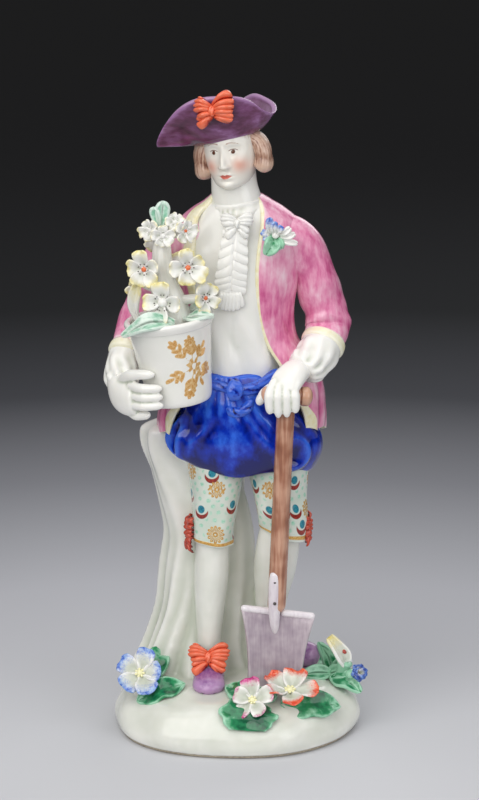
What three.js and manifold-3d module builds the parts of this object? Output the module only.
// A glazed porcelain figure of a gardener, made and fired as one piece with its mound and tree stump.
// He stands in a tricorne, an open coat, a long waistcoat, an apron and breeches. His right arm holds
// a pot of flowers, his left hand rests on the handle of a spade, and modelled flowers lie at his feet.
// Millimetres, +Z up. He faces -Y, so his right side is at -X. The origin is in the middle of the underside.
import * as THREE from "three";
import { mergeVertices } from "three/addons/utils/BufferGeometryUtils.js";
import Module from "manifold-3d";

const wasm = await Module();
wasm.setup();

// Driving dimensions of the figure.
const mound = { halfWidth: 39, halfDepth: 35.4, middleY: -1.9, squareness: 2.4 };
const kneeHeight = 61.5;
const headMiddle = { x: -1.3, y: -1, z: 185.5 };
const headTurn = THREE.MathUtils.degToRad(-18);
const headTilt = THREE.MathUtils.degToRad(-7);
const hatSeat = { x: -2.4, y: 0.4, z: 188.4 };
const hatTurn = THREE.MathUtils.degToRad(-20);
const hatTilt = THREE.MathUtils.degToRad(-14);
const pot = { x: -18.8, y: -15.5, bottom: 109.8, height: 26.6, bottomRadius: 9.6, rimRadius: 13.2, lean: -3.6 };
const spadeTop = new THREE.Vector3(15.6, -17, 111);
const spadeFoot = new THREE.Vector3(12.6, -13.6, 40);
const shaftRadius = 2.75;
const blade = { topWidth: 23.6, footWidth: 17.2, height: 29, thickness: 2.2, roll: 7 };

const at = (x, y, z) => new THREE.Vector3(x, y, z);
const smoothCurve = (points) => new THREE.CatmullRomCurve3(points, false, "catmullrom", 0.5);
const mix = THREE.MathUtils.lerp;
const bump = (x, middle, spread) => Math.exp(-(((x - middle) / spread) ** 2));

// A closed surface as a solid that can be joined to others, turned right side out if it has to be.
function solidFrom(geometry) {
  geometry.deleteAttribute("normal");
  geometry.deleteAttribute("uv");
  const merged = mergeVertices(geometry, 1e-4);
  const vertProperties = new Float32Array(merged.attributes.position.array);
  const triVerts = new Uint32Array(merged.index.array);
  const made = new wasm.Manifold(new wasm.Mesh({ numProp: 3, vertProperties, triVerts }));
  if (made.volume() > 0) return made;
  for (let i = 0; i < triVerts.length; i += 3) {
    [triVerts[i + 1], triVerts[i + 2]] = [triVerts[i + 2], triVerts[i + 1]];
  }
  return new wasm.Manifold(new wasm.Mesh({ numProp: 3, vertProperties, triVerts }));
}

// A rounded form: every vertex of a sphere goes where place(angle, row) says, with row 0 and row 1 its poles.
function roundForm(around, along, place) {
  const geometry = new THREE.SphereGeometry(1, around, along);
  const positions = geometry.attributes.position;
  for (let i = 0; i < positions.count; i += 1) {
    const column = i % (around + 1);
    const row = Math.floor(i / (around + 1));
    const spot = place(((column % around) / around) * Math.PI * 2, row / along);
    positions.setXYZ(i, spot.x, spot.y, spot.z);
  }
  return solidFrom(geometry);
}

// A thick sheet: every vertex of a box goes where place(across, up, out) says, each from 0 to 1.
function thickSheet(columns, rows, place) {
  const geometry = new THREE.BoxGeometry(1, 1, 1, columns, rows, 1);
  const positions = geometry.attributes.position;
  for (let i = 0; i < positions.count; i += 1) {
    const spot = place(positions.getX(i) + 0.5, positions.getY(i) + 0.5, positions.getZ(i) + 0.5);
    positions.setXYZ(i, spot.x, spot.y, spot.z);
  }
  return solidFrom(geometry);
}

// A ring: every vertex of a torus goes where place(angle, share) says, with share 0 to 1 once round its section.
function ringForm(around, section, place) {
  const geometry = new THREE.TorusGeometry(1, 0.4, section, around);
  const positions = geometry.attributes.position;
  for (let i = 0; i < positions.count; i += 1) {
    const column = (i % (around + 1)) % around;
    const row = Math.floor(i / (around + 1)) % section;
    const spot = place((column / around) * Math.PI * 2, row / section);
    positions.setXYZ(i, spot.x, spot.y, spot.z);
  }
  return solidFrom(geometry);
}

// A limb: a section swept along stations [x, y, z, half width, half depth]. Its end rings stand in by cap.
// The half depth is measured towards facing, ripple(angle, t) swells or sinks the section, and lift(angle, t)
// raises it. A level limb keeps its sections flat instead of square to its path.
function limb({
  stations, around = 10, along = 8, cap = [0.03, 0.8], facing = at(0, -1, 0), level = false, ripple = () => 1, lift = () => 0,
}) {
  const middle = smoothCurve(stations.map(([x, y, z]) => at(x, y, z)));
  const size = smoothCurve(stations.map(([, , , width, depth = width]) => at(width, depth, 0)));
  const [inset, endShare] = cap;
  return roundForm(around, along, (angle, row) => {
    const ring = Math.round(row * along);
    const isPole = ring === 0 || ring === along;
    const isEnd = ring === 1 || ring === along - 1;
    const t = isPole ? row : mix(inset, 1 - inset, along > 2 ? (ring - 1) / (along - 2) : 0.5);
    const share = isPole ? 0 : isEnd ? endShare : 1;
    const forward = level ? at(0, 0, -1) : middle.getTangent(t);
    const side = new THREE.Vector3().crossVectors(forward, facing).normalize();
    const front = new THREE.Vector3().crossVectors(side, forward);
    const half = size.getPoint(t).multiplyScalar(share * ripple(angle, t));
    return middle
      .getPoint(t)
      .addScaledVector(side, Math.cos(angle) * half.x)
      .addScaledVector(front, Math.sin(angle) * half.y)
      .add(at(0, 0, share * lift(angle, t)));
  });
}

const joined = (solids) => solids.reduce((all, one) => all.add(one));

// The place of a point given in a turned frame of its own: tilt about Y, lean about X, turn about Z.
function placer(origin, { turn = 0, tilt = 0, lean = 0 }) {
  const matrix = new THREE.Matrix4().makeRotationFromEuler(new THREE.Euler(lean, tilt, turn, "ZYX"));
  matrix.setPosition(origin.x, origin.y, origin.z);
  return (x, y, z) => at(x, y, z).applyMatrix4(matrix);
}

// A frame of its own at a point, with its outward direction given: u and v lie across that direction.
function facingFrame(origin, outward, upward = at(0, 0, 1)) {
  const out = outward.clone().normalize();
  const across = new THREE.Vector3().crossVectors(upward, out).normalize();
  const up = new THREE.Vector3().crossVectors(out, across);
  return (u, v, w) =>
    origin.clone().addScaledVector(across, u).addScaledVector(up, v).addScaledVector(out, w);
}

// The mound's height at each share of the way out from its middle to its outline.
const moundProfile = smoothCurve(
  [[0, 16.4], [0.36, 16.1], [0.6, 15.4], [0.78, 14], [0.9, 11.4], [0.975, 7.6], [1, 4.2], [0.985, 1.2], [0.96, 0]]
    .map(([share, height]) => at(share, height, 0)),
);

// The height of the mound's surface under a point, found from the first six stations of its profile.
function groundHeight(x, y) {
  const { halfWidth, halfDepth, middleY, squareness } = mound;
  const share = (Math.abs(x / halfWidth) ** squareness + Math.abs((y - middleY) / halfDepth) ** squareness) ** (1 / squareness);
  const stations = moundProfile.points.slice(0, 7);
  const next = Math.max(1, stations.findIndex((station) => station.x >= share));
  const [inner, outer] = [stations[next - 1], stations[next]];
  return mix(inner.y, outer.y, (share - inner.x) / (outer.x - inner.x));
}

function makeMound() {
  const lastRow = 8 / 9;
  return roundForm(22, 9, (angle, row) => {
    const plan = (Math.abs(Math.cos(angle)) ** mound.squareness + Math.abs(Math.sin(angle)) ** mound.squareness)
      ** (-1 / mound.squareness);
    const wobble = 1 + 0.012 * Math.sin(3 * angle + 0.6) + 0.01 * Math.sin(5 * angle + 2);
    const { x: share, y: height } = row > lastRow + 0.01 ? at(0, 0, 0) : moundProfile.getPoint(row / lastRow);
    const reach = share * plan * wobble;
    const offCentre = share === 0 && height === 0 ? 2.5 : 0;
    return at(
      reach * Math.cos(angle) * mound.halfWidth + offCentre,
      mound.middleY + reach * Math.sin(angle) * mound.halfDepth + offCentre,
      height < 0.05 ? 0 : height,
    );
  });
}

function makeStump() {
  const trunk = limb({
    stations: [
      [-19.6, 9.5, 98, 9.4, 8], [-18, 9.5, 91, 11.6, 9], [-14.4, 9.5, 83, 13, 10], [-11.4, 9.5, 73, 13.6, 10.5],
      [-9, 9.5, 61, 14, 11], [-9.2, 9.5, 48, 15, 11.5], [-9.6, 9, 34, 15.5, 12.5], [-10.8, 8.5, 22, 17.6, 14.5],
      [-11.6, 8, 11, 22, 17.5],
    ],
    around: 18,
    along: 8,
    cap: [0.01, 0.9],
    ripple: (angle, t) => 1 + (0.035 + 0.03 * t) * Math.cos(6 * angle + 1 + 3 * t),
  });
  const backLimb = limb({
    stations: [[-3, 12, 106, 8, 7], [-5, 12.5, 90, 8, 7], [-6, 12, 74, 8.5, 8], [-8, 11, 58, 9, 9]],
    around: 7,
    along: 4,
  });
  return trunk.add(backLimb);
}

function makeLegs() {
  const rightLeg = limb({
    stations: [
      [-7.4, -4.4, 67, 5.2, 5.4], [-7.5, -4.2, 58, 5.3, 5.6], [-7.8, -3.6, 49, 5.5, 6.1], [-8.3, -4, 38, 4.7, 5.1],
      [-8.6, -4.8, 28, 3.9, 4.3], [-8.6, -5.6, 20, 4.1, 5], [-8.6, -6.4, 13, 4.4, 6],
    ],
    around: 7,
    along: 5,
    cap: [0.01, 1],
  });
  const leftLeg = limb({
    stations: [
      [14.4, -4.6, 67, 6.2, 6.2], [13.2, -2.8, 58, 7.1, 6.6], [12.2, -0.8, 50, 6.7, 6.6], [11.2, 1, 40, 5.2, 5.6],
      [10.9, 2.3, 30, 4.2, 4.6], [11.4, 3.2, 22, 4.5, 4.8], [11.6, 3.2, 14, 5, 5],
    ],
    around: 7,
    along: 5,
    cap: [0.01, 1],
  });
  const breechesFold = (phase) => (angle, t) => 1 + 0.03 * t * Math.sin(5 * angle + phase + 5 * t);
  const rightBreeches = limb({
    stations: [
      [-7, -1, 100, 11, 10.5], [-6.2, -2.6, 88, 9.4, 9.6], [-6.6, -4, 76, 7.7, 8.1], [-7.1, -4.8, 67, 6.6, 7],
      [-7.2, -5, kneeHeight - 1, 6.4, 6.8],
    ],
    around: 8,
    along: 5,
    cap: [0.01, 1],
    ripple: breechesFold(0),
  });
  const leftBreeches = limb({
    stations: [
      [11, 0, 100, 11.5, 10.5], [12.9, -2, 88, 10.2, 9.8], [13.7, -4, 76, 8.4, 8.5], [14.7, -5.2, 67, 7.6, 7.6],
      [14.9, -5.2, kneeHeight - 1, 7.1, 7.2],
    ],
    around: 8,
    along: 5,
    cap: [0.01, 1],
    ripple: breechesFold(2),
  });
  const rightShoe = limb({
    stations: [
      [-8.6, 1.5, 18, 3.2, 3.6], [-8.6, -4, 18.4, 3.8, 4], [-8.6, -10.5, 18, 4.5, 3.8], [-8.6, -17, 17.2, 5.1, 3],
      [-8.6, -21.8, 16.6, 4.2, 2.2],
    ],
    around: 7,
    along: 5,
    cap: [0.04, 0.85],
    facing: at(0, 0, 1),
  });
  const leftShoe = limb({
    stations: [
      [7.8, 5, 19, 3.2, 3.6], [13, 4, 20, 3.8, 4.4], [18.4, 3, 20.4, 4.3, 4.6], [23, 2, 20, 4.1, 4.4],
      [26.6, 1.2, 18.6, 3, 3.4],
    ],
    around: 7,
    along: 5,
    cap: [0.04, 0.85],
    facing: at(0, 0, 1),
  });
  return joined([rightLeg, leftLeg, rightBreeches, leftBreeches, rightShoe, leftShoe]);
}

// A tied ribbon: two fanned loops, two tails and a knot, in a frame where w points away from the figure.
function makeBow(frame, { reach, rise, drop, depth }) {
  const part = (stations, around, along, cap) =>
    limb({
      stations: stations.map(([u, v, w, width, thick]) => [...frame(u, v, w).toArray(), width, thick]),
      around,
      along,
      cap,
      facing: frame(0, 0, 1).sub(frame(0, 0, 0)),
    });
  const loops = [-1, 1].map((sign) =>
    part([
      [0, 0, -0.4, 0.16 * reach, depth],
      [0.4 * reach * sign, 0.4 * rise, depth * 0.6, 0.34 * reach, depth],
      [0.86 * reach * sign, 0.78 * rise, 0, 0.46 * reach, depth],
    ], 6, 3, [0.06, 0.85]));
  const tails = [-1, 1].map((sign) =>
    part([
      [0, 0, -0.4, 0.14 * reach, depth * 0.7],
      [0.34 * reach * sign, -0.5 * drop, depth * 0.3, 0.24 * reach, depth * 0.8],
      [0.68 * reach * sign, -drop, 0, 0.26 * reach, depth * 0.7],
    ], 5, 3, [0.05, 0.9]));
  const knot = part([
    [0, 0.26 * reach, 0, 0.2 * reach, depth * 1.5],
    [0, -0.26 * reach, 0, 0.2 * reach, depth * 1.5],
  ], 5, 3, [0.25, 0.95]);
  return joined([...loops, ...tails, knot]);
}

function makeRibbons() {
  const sideRibbon = (x, y, z, width) =>
    limb({
      stations: [[x, y + 2.6, z + 5.6, 1, 2], [x, y, z + 1, width, 3], [x, y - 1, z - 5, 1.2, 2.4]],
      around: 7,
      along: 5,
      cap: [0.1, 0.7],
    });
  return joined([
    sideRibbon(-13.2, -5, 63, 1.7),
    sideRibbon(22, -5, 63.4, 1.6),
    makeBow(facingFrame(at(-8.6, -11.8, 23.6), at(0, -0.85, 0.5)), { reach: 6.4, rise: 3.6, drop: 5.2, depth: 1.3 }),
  ]);
}

function makeApron() {
  const skirt = limb({
    stations: [
      [-1.5, -1.5, 117.5, 13.4, 10.8], [-0.4, -2, 111, 15.8, 12.6], [1.4, -2.4, 105.6, 17.2, 13.4], [2.5, -2.4, 100.7, 20.6, 13.8],
      [2.7, -2.4, 95.5, 24, 14], [3, -2.2, 90.5, 23.6, 13.4], [3.6, -2, 86.6, 20, 12], [4, -1.6, 85, 14, 9.5],
    ],
    around: 18,
    along: 8,
    cap: [0.015, 0.8],
    level: true,
    ripple: (angle, t) => 1 + 0.03 * Math.sin(t * Math.PI) * Math.cos(7 * angle + 3 * t),
    lift: (angle, t) => t ** 3 * (2.4 * Math.cos(angle) - 0.8 + 1.2 * Math.cos(3 * angle)),
  });
  const knot = limb({
    stations: [[-2.8, -14, 112.6, 3.2, 2.6], [2.6, -14.6, 112.4, 3.4, 3]],
    around: 8,
    along: 4,
    cap: [0.1, 0.75],
  });
  const knotEnd = limb({
    stations: [[-3.4, -14.6, 106.2, 1.7, 1.6], [0.5, -15.6, 107, 2.6, 2], [4.2, -14.4, 109, 1.7, 1.6]],
    around: 7,
    along: 4,
    cap: [0.1, 0.75],
  });
  const roll = limb({
    stations: [[-14, -8.8, 113.6, 2, 2], [-5, -13, 113.2, 2.2, 2], [4, -13.2, 112.8, 2, 2], [13, -9.6, 116.8, 2.2, 2.2]],
    around: 6,
    along: 6,
  });
  return joined([skirt, knot, knotEnd, roll]);
}

function makeTrunkOfBody() {
  const waistcoat = limb({
    stations: [
      [0, 0, 108, 15.2, 10.8], [-0.4, -0.6, 118, 15.4, 11], [-0.2, -0.5, 127, 15.3, 11], [0.2, -0.3, 137, 16.3, 11.2],
      [0.6, 0.2, 147, 17.9, 11.3], [0.8, 0.7, 155, 18.6, 10.6], [0.9, 1, 161, 16.2, 9.4], [0.9, 1.1, 165.6, 12.4, 8.4],
      [0.9, 1.2, 169.4, 8.6, 7.6],
    ],
    around: 12,
    along: 7,
    cap: [0.02, 0.95],
  });
  const neck = limb({
    stations: [[1, 0.8, 162, 10.2, 9.2], [0.5, 0.4, 168.6, 8.4, 8], [-0.5, 0, 174, 7.1, 6.9], [-1, 0, 181, 6.8, 6.8]],
    around: 10,
    along: 5,
    cap: [0.02, 0.95],
  });
  const frill = limb({
    stations: [
      [0.2, -9.4, 166, 4.4, 2], [-0.4, -11.2, 157, 4, 2.2], [-1.1, -12.2, 149, 4.5, 2.2], [-1.6, -12.3, 142.6, 4.8, 2.2],
      [-1.7, -12.1, 138, 4, 1.8],
    ],
    around: 7,
    along: 7,
    cap: [0.03, 0.75],
    ripple: (angle, t) => 1 + 0.08 * Math.cos(t * Math.PI * 5),
  });
  return joined([waistcoat, neck, frill]);
}

// The coat's outline at a height: the middle of its section, half width and half depth, and its two front edges
// as angles from the front, all taken from a few stations between the hem and the collar.
const coatStations = [
  { z: 90, x: 1.8, y: 2.5, width: 27, depth: 17.5, left: 52, right: -66 },
  { z: 98, x: 2.2, y: 2, width: 26.3, depth: 16.4, left: 51, right: -64 },
  { z: 107, x: 3.4, y: 1.6, width: 24.4, depth: 14.8, left: 41, right: -58 },
  { z: 116, x: 1.4, y: 1, width: 23.2, depth: 13.2, left: 34, right: -52 },
  { z: 125, x: 0.7, y: 0.6, width: 18.4, depth: 12.4, left: 29, right: -50 },
  { z: 135, x: 0.4, y: 0.6, width: 17.6, depth: 12.4, left: 22, right: -49 },
  { z: 147, x: 0.5, y: 0.8, width: 19.6, depth: 12.7, left: 17, right: -44 },
  { z: 155, x: 0.7, y: 1, width: 20.6, depth: 12.2, left: 17, right: -42 },
  { z: 162, x: 0.8, y: 1.2, width: 18.6, depth: 10.8, left: 22, right: -46 },
  { z: 165.6, x: 0.8, y: 1.3, width: 15, depth: 9.8, left: 29, right: -56 },
  { z: 168.4, x: 0.8, y: 1.4, width: 11.2, depth: 9.2, left: 42, right: -64 },
  { z: 171, x: 0.7, y: 1.5, width: 9.4, depth: 8.8, left: 54, right: -70 },
];
const coatMiddle = smoothCurve(coatStations.map(({ x, y, z }) => at(x, y, z)));
const coatHalves = smoothCurve(coatStations.map(({ width, depth }) => at(width, depth, 0)));
const coatEdges = smoothCurve(coatStations.map(({ left, right }) => at(left, right, 0)));

function makeCoat() {
  const edgeThickness = 2.6;
  const backThickness = 8;
  const hemRise = 8.5;
  const skirtFold = (angle, up) => 1 + 0.04 * Math.max(0, 1 - up * 2.6) * Math.cos(7 * angle);
  return thickSheet(15, 8, (across, up, out) => {
    const middle = coatMiddle.getPoint(up);
    const halves = coatHalves.getPoint(up);
    const edges = coatEdges.getPoint(up);
    const angle = THREE.MathUtils.degToRad(mix(edges.x, 360 + edges.y, across));
    const reach = skirtFold(angle, up);
    const thickness = mix(edgeThickness, backThickness, Math.sin(Math.PI * across)) * (1 - out);
    return at(
      middle.x + Math.sin(angle) * (halves.x * reach - thickness),
      middle.y - Math.cos(angle) * (halves.y * reach - thickness),
      middle.z + hemRise * Math.abs(2 * across - 1) * (1 - up) ** 4,
    );
  });
}

function makeArms() {
  const sleeveFold = (angle, t) => 1 + 0.035 * Math.sin(26 * t + 2 * Math.sin(angle)) * Math.sin(Math.PI * t);
  const leftSleeve = limb({
    stations: [
      [10, 1.2, 158, 7.4, 8], [17.4, 1.4, 156, 7.4, 8], [22.4, 1.8, 149.6, 7, 7.6], [25.4, 2, 141.6, 6.8, 7.2],
      [27.8, 2, 134, 6.8, 7.2], [28.4, 0.4, 128.4, 7, 6.8], [26, -4.6, 123.4, 6.4, 6.4],
    ],
    around: 9,
    along: 8,
    cap: [0.02, 1],
    facing: at(0.1, -0.7, 0.7),
    ripple: sleeveFold,
  });
  const leftCuff = limb({
    stations: [[27, -2.8, 124.4, 6.6, 6.6], [25.4, -6.4, 122, 6.6, 6.4], [23, -9.4, 120, 5.7, 5.3], [20.4, -12, 118.4, 4.5, 4]],
    around: 8,
    along: 4,
    cap: [0.02, 0.95],
    facing: at(0.1, -0.7, 0.7),
  });
  const rightSleeve = limb({
    stations: [
      [-8, 1.2, 158, 7.2, 8], [-16.4, 1.6, 156, 7.2, 8], [-22, 2.2, 149.6, 7, 7.6], [-25.6, 2.8, 141.6, 6.7, 7.2],
      [-28.8, 2.8, 134, 6.5, 7], [-31.6, 0.8, 128, 6.1, 6.2], [-34, -3.6, 124.2, 5.2, 5.4],
    ],
    around: 9,
    along: 8,
    cap: [0.02, 1],
    facing: at(-0.1, -0.7, 0.7),
    ripple: sleeveFold,
  });
  const rightCuff = limb({
    stations: [[-34.2, -3.6, 124.4, 5.2, 5.2], [-35.8, -7.4, 121.2, 5.1, 5.1], [-36.2, -11.6, 116.4, 4.9, 5.1], [-36.2, -14.4, 112.8, 3.9, 4.6]],
    around: 8,
    along: 4,
    cap: [0.02, 0.95],
    facing: at(-0.3, -0.7, 0.6),
  });
  return joined([leftSleeve, leftCuff, rightSleeve, rightCuff]);
}

const finger = (points, radius) =>
  limb({
    stations: points.map((p, i) => [...p, radius * (1 - 0.1 * i)]),
    around: 5,
    along: 3,
    cap: [0.06, 0.8],
    facing: at(0.2, -0.3, 0.93),
  });

function makeHands() {
  const leftPalm = limb({
    stations: [[22.2, -10.2, 119.8, 4.5, 3.8], [19, -13.8, 119, 4.9, 3.6], [15.8, -17.2, 116.4, 5.2, 3.1], [14.2, -19.4, 113.4, 4.9, 2.3]],
    around: 7,
    along: 5,
    facing: at(-0.3, -0.6, 0.75),
  });
  const leftFingers = [0, 1, 2, 3].map((i) => {
    const x = 10.2 + 2.6 * i;
    const low = 108.4 - 2.4 * Math.sin((Math.PI * (i + 0.6)) / 4);
    return finger([[mix(x, 14.6, 0.5), -17, 116.6], [x, -21.2, 113], [x + 0.2, -21.2, low]], 1.7);
  });
  const leftThumb = finger([[14, -15.4, 115.6], [9.2, -16.6, 112.6], [6.6, -17, 108.8]], 1.8);
  const rightPalm = limb({
    stations: [[-36.4, -12, 115.2, 3.9, 4.5], [-35.8, -16, 112.4, 3.3, 5.4], [-33, -20.4, 111.6, 2.8, 5.4], [-30.4, -23.6, 112, 2, 4.2]],
    around: 7,
    along: 5,
    facing: at(0, 0, 1),
  });
  const rightFingers = [0, 1, 2].map((i) =>
    finger([[-32.6, -20.6, 116 - 2.9 * i], [-28.4, -25.6, 116.2 - 2.8 * i], [-22.2 + 0.2 * i, -27, 116.6 - 2.7 * i]], 1.7));
  const littleFinger = finger([[-33.4, -18, 108.8], [-30.6, -21.6, 106.8], [-26, -24.4, 107.6]], 1.8);
  const rightThumb = finger([[-36.2, -13.4, 114.8], [-31.6, -22, 119.8], [-24.4, -26.6, 121]], 1.85);
  return joined([leftPalm, ...leftFingers, leftThumb, rightPalm, ...rightFingers, littleFinger, rightThumb]);
}

// How far the face stands out of the plain head at a spot across and above the eye line.
function faceRelief(across, above) {
  const side = Math.abs(across);
  const nose = 2.7 * bump(across, 0, 1.15) * THREE.MathUtils.smoothstep(2 - above, 0, 6) * (above > -5.6 ? 1 : 0);
  const socket = -0.8 * bump(side, 3.1, 1.8) * bump(above, 0.3, 1.5);
  const lips = 0.8 * bump(across, 0, 2) * bump(above, -7.6, 1);
  const chin = 0.7 * bump(across, 0, 2) * bump(above, -10.4, 1.3);
  return nose + socket + lips + chin;
}

function makeHead() {
  const place = placer(headMiddle, { turn: headTurn, tilt: headTilt });
  const middle = smoothCurve([[2, 11.4], [1, 9.4], [0.7, 5], [0.5, 0], [-0.1, -4], [-0.8, -7.6], [-1.8, -10.2], [-3, -11.8]]
    .map(([y, z]) => at(0, y, z)));
  const halves = smoothCurve([[2, 3], [5.8, 6.8], [8.1, 9], [8.5, 9.3], [7.9, 8.6], [6.6, 7.7], [5, 6.4], [2.4, 3.8]]
    .map(([width, depth]) => at(width, depth, 0)));
  const skull = roundForm(14, 12, (angle, row) => {
    const t = mix(row, (1 - Math.cos(Math.PI * row)) / 2, 0.25);
    const end = Math.max(0, 1 - Math.abs(2 * t - 1) ** 9) ** (1 / 9);
    const { x: width, y: depth } = halves.getPoint(t);
    const { y: back, z: above } = middle.getPoint(t);
    const swing = angle + 0.28 * Math.sin(2 * angle);
    const across = Math.sin(swing) * width * end;
    const front = Math.cos(swing) > 0 ? faceRelief(across, above) * Math.cos(swing) * end : 0;
    return place(across, back - Math.cos(swing) * depth * end - front, above);
  });
  const lock = (sign, end) =>
    limb({
      stations: [
        [7 * sign, 0.6, 6, 2.4, 3.8], [9 * sign, 0.4, 2.6, 2.8, 4.4], [9.7 * sign, 0.2, mix(2.6, end, 0.45), 3, 4.6],
        [9.4 * sign, 0.4, mix(2.6, end, 0.8), 2.9, 4.5], [8.5 * sign, 0.8, end, 1.8, 3],
      ].map(([x, y, z, width, depth]) => [...place(x, y, z).toArray(), width, depth]),
      around: 8,
      along: 5,
      cap: [0.04, 0.8],
    });
  const hairBack = limb({
    stations: [[0, 3, 9, 6.6, 7], [0, 3.6, 1, 8.4, 7.4], [0, 4, -5, 7.6, 6.4], [0.3, 5.4, -9, 3.6, 3.4]]
      .map(([x, y, z, width, depth]) => [...place(x, y, z).toArray(), width, depth]),
    around: 9,
    along: 4,
  });
  const queue = limb({
    stations: [[0.8, 7.2, 181, 3, 2.6], [1, 8.6, 174, 2.4, 2.4], [1.2, 11, 166.4, 2.2, 2.2], [1.4, 13, 157, 1.4, 1.6]],
    around: 7,
    along: 5,
    cap: [0.04, 0.8],
  });
  return joined([skull, lock(-1, -9), lock(1, -7.4), hairBack, queue]);
}

// The brim's edge as places in the hat's own frame, going round from the left tip past the front.
const brimEdge = new THREE.CatmullRomCurve3(
  [
    [-18.5, -11.6, 2.6], [-17.6, -13.8, 4.6], [-13.9, -15.2, 8.6], [-7.8, -16, 13], [-1.5, -15.6, 15], [5.3, -14, 14.4],
    [10.8, -11.7, 12.9], [13.9, -9.2, 10.6], [15.8, -6.4, 7.2], [17, -2.6, 5.3], [17.1, 1, 5.7], [15.6, 4.8, 7.4],
    [12, 8.8, 9.2], [7.6, 12, 10.7], [3.6, 14, 10.2], [-1.6, 14.2, 8.2], [-7.6, 11, 8.6], [-12.6, 5.6, 9.2],
    [-16.2, -2, 8], [-18.2, -8, 4.6],
  ].map((spot) => at(...spot)), true, "catmullrom", 0.5);

function makeHat() {
  const place = placer(hatSeat, { turn: hatTurn, tilt: hatTilt });
  const opening = 8.9;
  const brim = ringForm(26, 6, (turn, share) => {
    const inner = share < 0.5;
    const up = 1 - Math.abs(2 * share - 1);
    const edge = brimEdge.getPoint(turn / (2 * Math.PI));
    const angle = Math.atan2(edge.y, edge.x);
    const reach = Math.hypot(edge.x, edge.y);
    const keen = THREE.MathUtils.smoothstep(reach, 12, 22);
    const radius = mix(opening, reach, up ** mix(0.5, 0.95, keen)) - (inner ? mix(1.4, 0.7, up) : 0);
    const height = edge.z * up ** mix(1.35, 1.15, keen) + (inner ? mix(0.4, 0.9, keen) : 0);
    return place(Math.cos(angle) * radius, Math.sin(angle) * radius, height);
  });
  const crown = limb({
    stations: [[0, 0, -3, 8, 7.4], [0, 0, 0, 9.4, 9], [0, 0, 9, 8, 7.6]]
      .map(([x, y, z, width, depth]) => [...place(x, y, z).toArray(), width, depth]),
    around: 10,
    along: 5,
    cap: [0.08, 0.7],
  });
  const bowFrame = facingFrame(place(2.6, -14.6, 10.8), at(-0.25, -1, 0.2), at(0.1, 0, 1));
  const bow = makeBow(bowFrame, { reach: 6, rise: 5, drop: 5, depth: 1.3 });
  return joined([brim, crown, bow]);
}

const potPlace = (x, y, up) =>
  at(pot.x + pot.lean * (up / pot.height - 0.5) + x, pot.y + y, pot.bottom + up + x * 0.13);

// A flower as one cup of round lobes that draws in behind to a stalk ending at root.
// Each row gives its share of the radius, how far it stands out, and its share of the way to the root.
function makeFlower(origin, outward, root, { radius, petals = 5, steps = 2, cup = 0.3, turn = 0.3 }) {
  const frame = facingFrame(origin, outward, Math.abs(outward.z) > 0.9 ? at(0, 1, 0) : at(0, 0, 1));
  const rows = [[0, 0.12, 0], [0.5, 0.05, 0], [1, 1, 0], [0.36, -0.4, 0.3], [0, 0, 1]];
  return roundForm(petals * steps, 4, (angle, row) => {
    const [share, lift, back] = rows[Math.round(row * 4)];
    const lobe = Math.abs(Math.cos((petals * (angle - turn)) / 2));
    const reach = radius * share * mix(0.66, 1, lobe);
    return frame(Math.cos(angle) * reach, Math.sin(angle) * reach, radius * cup * lift).lerp(root, back);
  });
}

// A leaf through three points, its half width in its middle, with its face turned to outward.
const makeLeaf = (root, middle, tip, halfWidth, outward = at(0, -0.3, 1), thickness = 0.8) =>
  limb({
    stations: [[...root, halfWidth * 0.5, thickness], [...middle, halfWidth, thickness], [...tip, halfWidth * 0.6, thickness * 0.7]],
    around: 4,
    along: 4,
    cap: [0.12, 0.75],
    facing: outward,
  });

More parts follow.
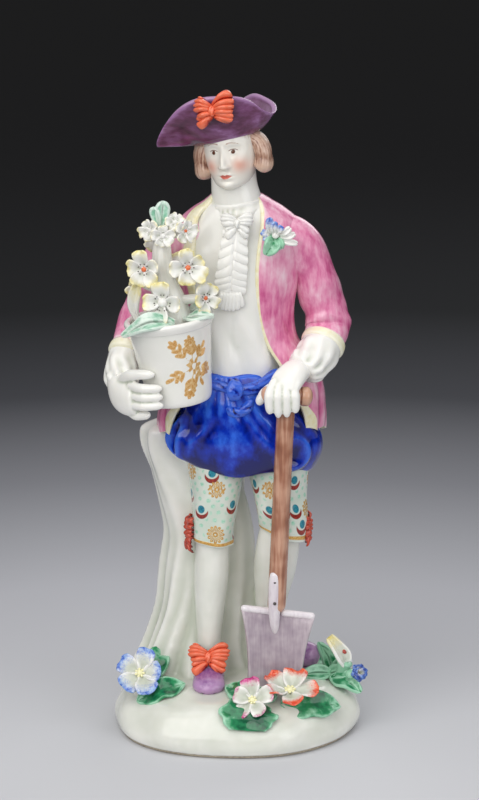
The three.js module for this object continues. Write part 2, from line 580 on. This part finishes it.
function makePotOfFlowers() {
  const vessel = roundForm(16, 8, (angle, row) => {
    const profile = [
      [0, 0], [0.96 * pot.bottomRadius, 0], [pot.bottomRadius, 0.8], [mix(pot.bottomRadius, pot.rimRadius, 0.8), pot.height - 4.4],
      [pot.rimRadius, pot.height - 3.4], [pot.rimRadius + 0.2, pot.height - 0.6], [pot.rimRadius - 1, pot.height],
      [pot.rimRadius - 2.6, pot.height - 0.4], [0, pot.height + 1],
    ];
    const [radius, up] = profile[Math.round(row * 8)];
    return potPlace(Math.cos(angle) * radius, Math.sin(angle) * radius, up);
  });
  const stem = limb({
    stations: [
      [-19.6, -15.5, 133, 7, 6], [-20.6, -16, 141, 5.4, 5], [-22, -15.6, 149, 3.4, 3.4], [-22.4, -15.4, 157, 2.8, 2.8],
      [-22.4, -15.4, 165, 1.8, 1.6],
    ],
    around: 7,
    along: 5,
  });
  const blooms = [
    { spot: [-22, -18.4, 162], out: [0.1, -1, 0.15], radius: 3.3 },
    { spot: [-25.8, -16.8, 163.4], out: [-0.7, -0.8, 0.1], radius: 3.4 },
    { spot: [-16.4, -16.6, 163], out: [0.4, -0.9, 0.2], radius: 3.8 },
    { spot: [-27.6, -19.8, 152.4], out: [-0.42, -1, 0.1], radius: 5.4 },
    { spot: [-14.8, -20.4, 152.6], out: [0.2, -1, 0.15], radius: 6 },
    { spot: [-22.2, -22.6, 142.8], out: [-0.2, -1, 0.1], radius: 6 },
    { spot: [-9.4, -18.6, 143], out: [0.6, -0.9, 0.1], radius: 4.6 },
    { spot: [-29.6, -11, 146], out: [-0.9, 0.3, 0.2], radius: 4.8 },
    { spot: [-17, -8.6, 150], out: [0.2, 1, 0.2], radius: 5 },
    { spot: [-23.6, -11.4, 158], out: [-0.4, 0.9, 0.3], radius: 3.8 },
  ].map(({ spot: [x, y, z], out, radius }) => makeFlower(at(x, y, z), at(...out), at(-21.8, -15.5, z - 2), { radius }));
  const leaves = [
    makeLeaf([-22.4, -15.4, 161], [-23, -16.2, 168], [-22, -16.6, 173.4], 2.3, at(0, -1, 0), 1),
    makeLeaf([-22.4, -15.4, 161.4], [-24.8, -16.4, 166.6], [-26, -16.8, 170.4], 1.6, at(-0.3, -1, 0), 1),
    makeLeaf([-22, -19, 135.6], [-28.4, -22.6, 136.4], [-33.4, -21.6, 131.8], 3.6),
    makeLeaf([-18, -19, 136], [-12.6, -22.4, 138], [-7.8, -20.2, 137], 2.8),
    makeLeaf([-20, -12, 136], [-22, -7, 137.6], [-26, -3.6, 135.6], 3.4),
    makeLeaf([-31, -16, 134.6], [-32.2, -17.2, 141], [-31.4, -17.8, 147], 1.7, at(-1, -0.6, 0), 1),
  ];
  return joined([vessel, stem, ...blooms, ...leaves]);
}

function makeCorsage() {
  return joined([
    makeFlower(at(11.4, -12.4, 157.8), at(0.15, -1, 0.35), at(11, -6, 156), { radius: 4, cup: 0.5 }),
    makeLeaf([11.2, -9.6, 158], [11.2, -13.2, 153.4], [10.6, -12.8, 150.4], 2.7, at(0.1, -1, 0.2), 1),
    makeLeaf([11.6, -9.6, 157.4], [15.6, -12.4, 157.2], [19.4, -10.6, 156.8], 1.7, at(0.2, -0.9, 0.4), 1),
  ]);
}

function makeSpade() {
  const shaft = limb({
    stations: [
      [...spadeTop.toArray(), shaftRadius], [...spadeTop.clone().lerp(spadeFoot, 0.5).toArray(), shaftRadius + 0.1],
      [...spadeFoot.toArray(), shaftRadius + 0.1],
    ],
    around: 8,
    along: 4,
    cap: [0.01, 0.95],
  });
  const handle = limb({
    stations: [[7.6, -17, 112.4, 2.5], [12, -17.2, 112, 2.3], [18, -17.2, 111.6, 2.4], [20.6, -17, 111.4, 3], [23.6, -16.8, 111.2, 3]],
    around: 8,
    along: 6,
    cap: [0.05, 0.8],
    facing: at(0, 0, 1),
  });
  const strap = limb({
    stations: [[12.4, -15.6, 54.8, 1.5, 1.6], [12.1, -15.6, 50, 1.8, 1.6], [12, -15.2, 41, 1.8, 1.6], [12.3, -14.5, 34, 1.3, 1.2]],
    around: 6,
    along: 4,
    cap: [0.04, 0.7],
  });
  const roll = THREE.MathUtils.degToRad(blade.roll);
  const bladePlace = (across, down, out) =>
    at(
      13.2 + across * Math.cos(roll) - down * Math.sin(roll) * 0.4,
      -13.4 - down * 0.06 + out,
      40 - across * Math.sin(roll) - down,
    );
  const plate = thickSheet(4, 4, (across, up, out) => {
    const down = (1 - up) * blade.height;
    const waist = 1 - 0.07 * Math.sin(Math.PI * up);
    const width = mix(blade.footWidth, blade.topWidth, up ** 1.6) * waist;
    const dish = 0.8 * (1 - (2 * across - 1) ** 2);
    return bladePlace((across - 0.5) * width, down, (1 - out) * -blade.thickness + dish + 1);
  });
  const tread = (from, to) => limb({
    stations: [[...bladePlace(from, 0, 0.3).toArray(), 1.3], [...bladePlace(to, 0, 0.3).toArray(), 1.3]],
    around: 6,
    along: 3,
    cap: [0.08, 0.95],
    facing: at(0, 0, 1),
  });
  return joined([shaft, handle, strap, plate, tread(-blade.topWidth / 2, -0.4), tread(0.4, blade.topWidth / 2)]);
}

// A flower lying on the mound, its stalk running into the ground below it.
const groundFlower = (x, y, lift, out, radius) => {
  const ground = groundHeight(x, y);
  return makeFlower(at(x, y, ground + lift), at(...out), at(x, y + 3, ground - 2), { radius, petals: 5 });
};

// A leaf lying on the mound: root and tip touch it, and its middle stands a little clear.
const groundLeaf = ([x0, y0], [x1, y1], [x2, y2], halfWidth, out, rise = 1.4) =>
  makeLeaf(
    [x0, y0, groundHeight(x0, y0) - 0.6],
    [x1, y1, groundHeight(x1, y1) + rise],
    [x2, y2, groundHeight(x2, y2) + rise * 0.5],
    halfWidth,
    at(...out),
    1,
  );

function makeGroundFlowers() {
  return joined([
    groundFlower(-30, -14, 6.2, [-0.15, -0.78, 0.6], 7.2),
    groundFlower(17, -24.6, 3.4, [0.05, -0.38, 0.92], 8),
    groundFlower(5.2, -28.4, 1.8, [-0.1, -0.72, 0.7], 6.2),
    groundLeaf([-27, -10], [-32.4, -5], [-35.4, -1], 3, [0, -0.5, 0.85], 4),
    groundLeaf([-27, -9], [-25, -3], [-22.4, 1], 3.4, [-0.2, -0.7, 0.6], 6),
    groundLeaf([-30, -17], [-23.6, -18.4], [-16.8, -16], 4.2, [0, -0.5, 0.85], 1.8),
    groundLeaf([4, -26], [-0.4, -21.6], [-3, -18], 3.6, [0, -0.5, 0.85], 1.8),
    groundLeaf([4, -29], [-0.4, -33.4], [-3.6, -36], 4.6, [-0.1, -0.85, 0.5]),
    groundLeaf([6, -29], [8, -33.4], [10, -36], 4.4, [0.1, -0.85, 0.5]),
    groundLeaf([17, -24.6], [24.6, -25.4], [32, -21], 5, [0.2, -0.7, 0.7]),
    groundLeaf([21.6, -5], [26, -4], [30.4, -3.6], 3, [0, -0.5, 0.85], 3),
    groundLeaf([25, 2], [28.4, 3], [31, 1], 2.6, [0.2, -0.8, 0.6], 6.6),
    groundLeaf([29, -3], [33.4, -5.4], [37, -8], 3, [0.4, -0.6, 0.7], 3.4),
    groundLeaf([26, 10], [29, 15], [31, 20], 3.4, [0.3, 0.3, 0.9], 1.8),
    limb({
      stations: [[29.4, -3.6, 11, 1.8], [30.8, -4.2, 18, 2], [33.4, -5.4, 22.6, 3.4, 3], [30.6, -4.8, 28.6, 1.2, 1]],
      around: 8,
      along: 5,
      facing: at(0.6, -0.8, 0),
    }),
    limb({
      stations: [[33, -5.6, 11, 1.8], [36, -6.4, 15, 2.2], [38.2, -7.2, 17.4, 3]],
      around: 7,
      along: 4,
      cap: [0.1, 0.75],
      facing: at(0, -0.6, 0.8),
    }),
  ]);
}

const figure = joined([
  makeMound(),
  makeStump(),
  makeLegs(),
  makeRibbons(),
  makeApron(),
  makeTrunkOfBody(),
  makeCoat(),
  makeArms(),
  makeHands(),
  makeHead(),
  makeHat(),
  makePotOfFlowers(),
  makeCorsage(),
  makeSpade(),
  makeGroundFlowers(),
]);

const made = figure.getMesh();
const geometry = new THREE.BufferGeometry();
const vertices = new Float32Array(made.numVert * 3);
for (let i = 0; i < made.numVert; i += 1) {
  vertices.set(made.vertProperties.subarray(i * made.numProp, i * made.numProp + 3), i * 3);
}
geometry.setAttribute("position", new THREE.BufferAttribute(vertices, 3));
geometry.setIndex(new THREE.BufferAttribute(made.triVerts, 1));
geometry.computeVertexNormals();

const porcelain = new THREE.MeshStandardMaterial({ color: 0xe8e8e0, roughness: 0.12, metalness: 0 });
const gardener = new THREE.Mesh(geometry, porcelain);
gardener.name = "gardener_figure";

const group = new THREE.Group();
group.add(gardener);

export default group;
